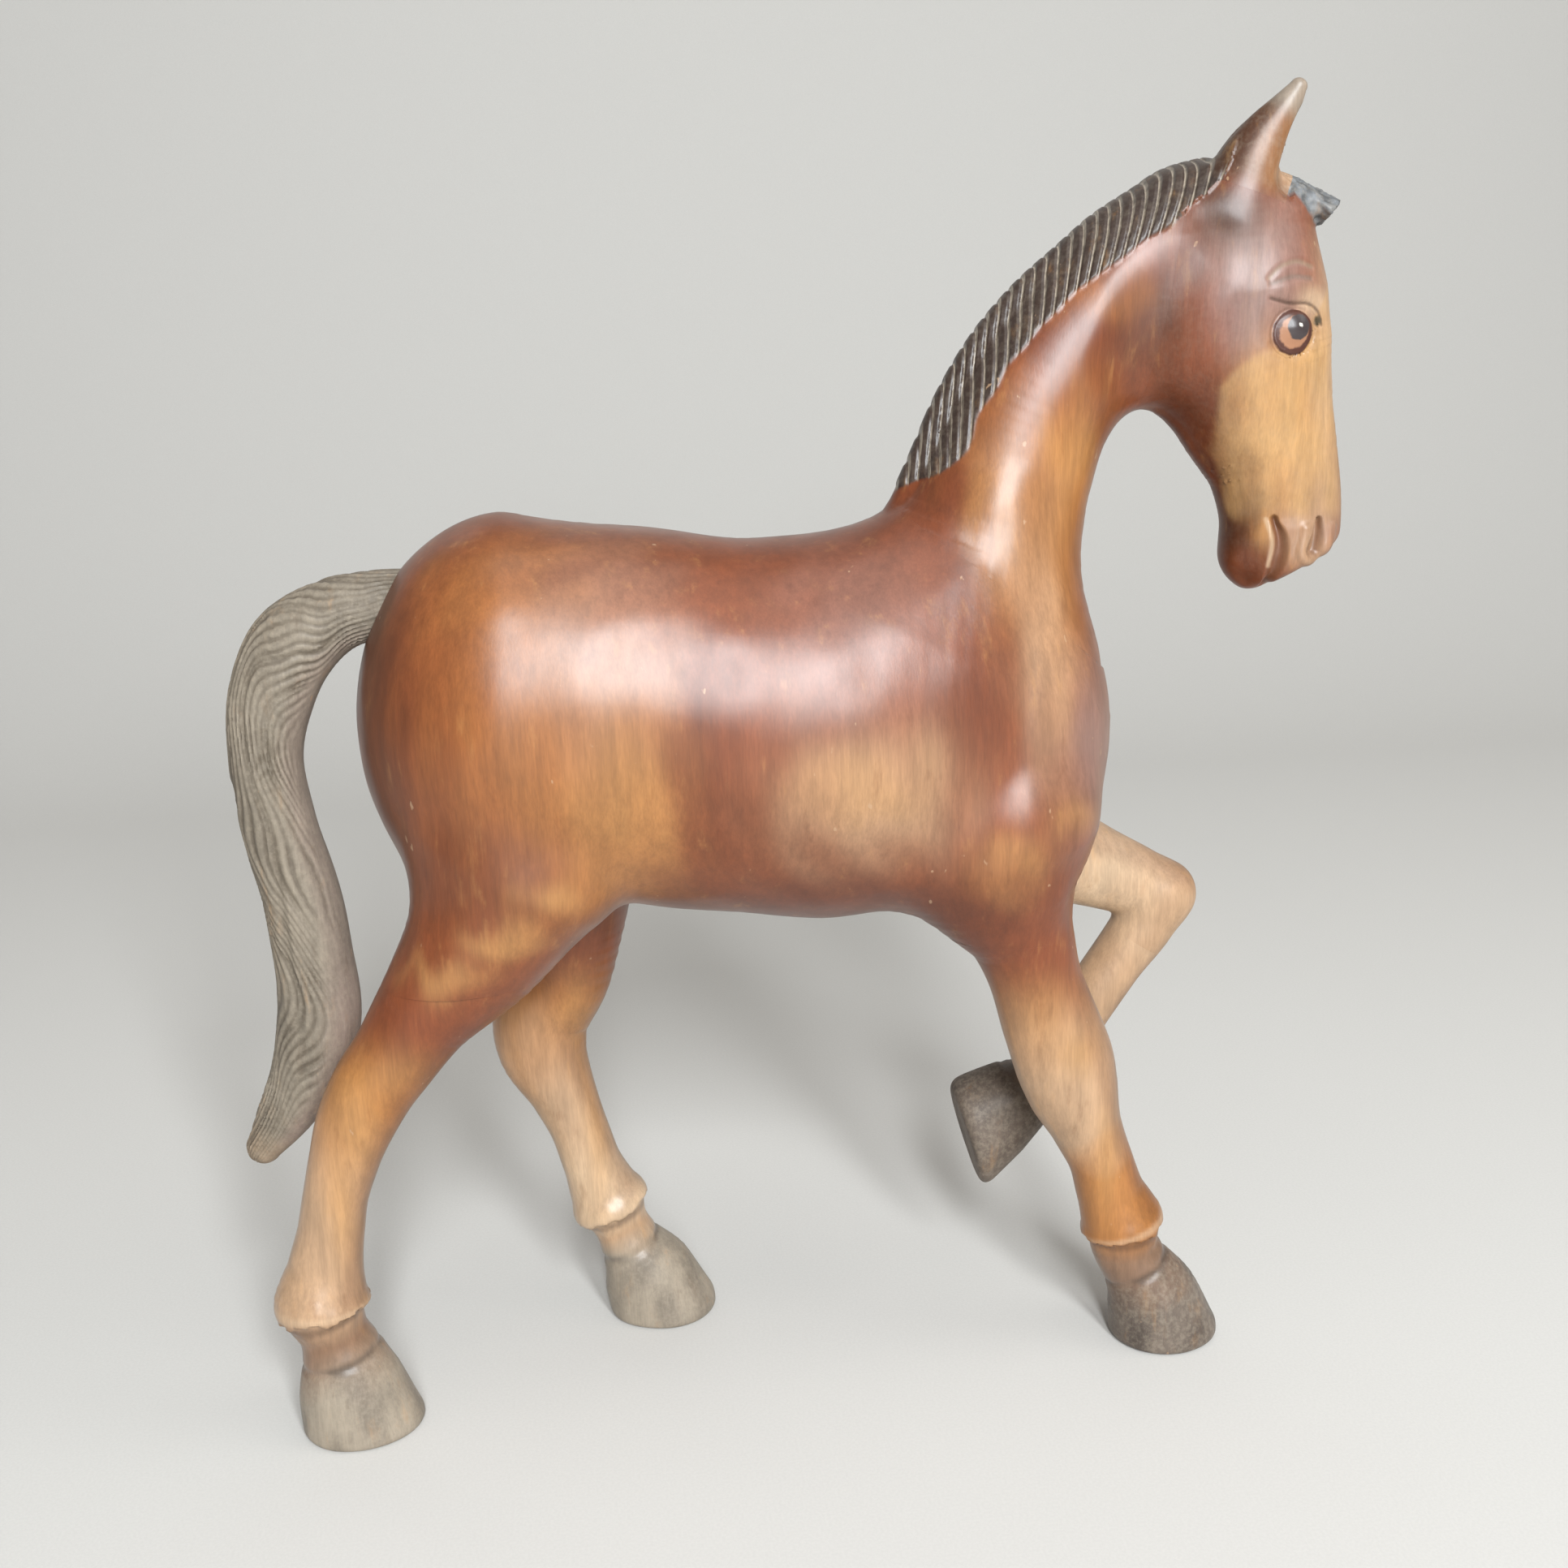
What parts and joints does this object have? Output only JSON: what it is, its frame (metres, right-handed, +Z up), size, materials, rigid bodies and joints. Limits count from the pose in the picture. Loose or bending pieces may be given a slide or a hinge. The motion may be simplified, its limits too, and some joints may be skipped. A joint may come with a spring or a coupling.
{
  "type": "carved wooden horse figurine",
  "caption": "Carved and stained wooden horse that walks with one foreleg raised, glued up with dowels from separate blocks, free-standing on its other hooves.",
  "frame": {"origin": "middle of the bounding box in X and Y, on the surface that the hooves stand on", "axes": "+X towards the nose, +Y to the horse's left, +Z up"},
  "size_m": [0.4342, 0.12, 0.4965],
  "materials": {
    "stained_wood": "rubbed reddish brown stain over pale wood, waxed to a satin gloss",
    "pale_wood": "thin greyish stain, satin",
    "grey_wood": "limewashed grey, matt, with carved grooves",
    "bare_wood": "plain turned hardwood, matt"
  },
  "bodies": {
    "root": {"torso": "stained_wood", "neck": "stained_wood", "head": "stained_wood", "right_hindleg": "stained_wood", "left_hindleg": "stained_wood", "right_foreleg": "stained_wood", "left_foreleg_upper": "pale_wood", "left_foreleg_lower": "pale_wood", "tail": "grey_wood", "right_ear": "stained_wood", "left_ear": "stained_wood", "right_ear_peg": "bare_wood", "left_ear_peg": "bare_wood", "neck_dowel_upper": "bare_wood", "neck_dowel_lower": "bare_wood", "head_dowel_upper": "bare_wood", "head_dowel_lower": "bare_wood", "right_hindleg_dowel_front": "bare_wood", "right_hindleg_dowel_rear": "bare_wood", "left_hindleg_dowel_front": "bare_wood", "left_hindleg_dowel_rear": "bare_wood", "right_foreleg_dowel_front": "bare_wood", "right_foreleg_dowel_rear": "bare_wood", "left_foreleg_dowel_outer": "bare_wood", "left_foreleg_dowel_inner": "bare_wood", "left_knee_dowel": "bare_wood", "tail_dowel": "bare_wood"}
  },
  "joints": []
}
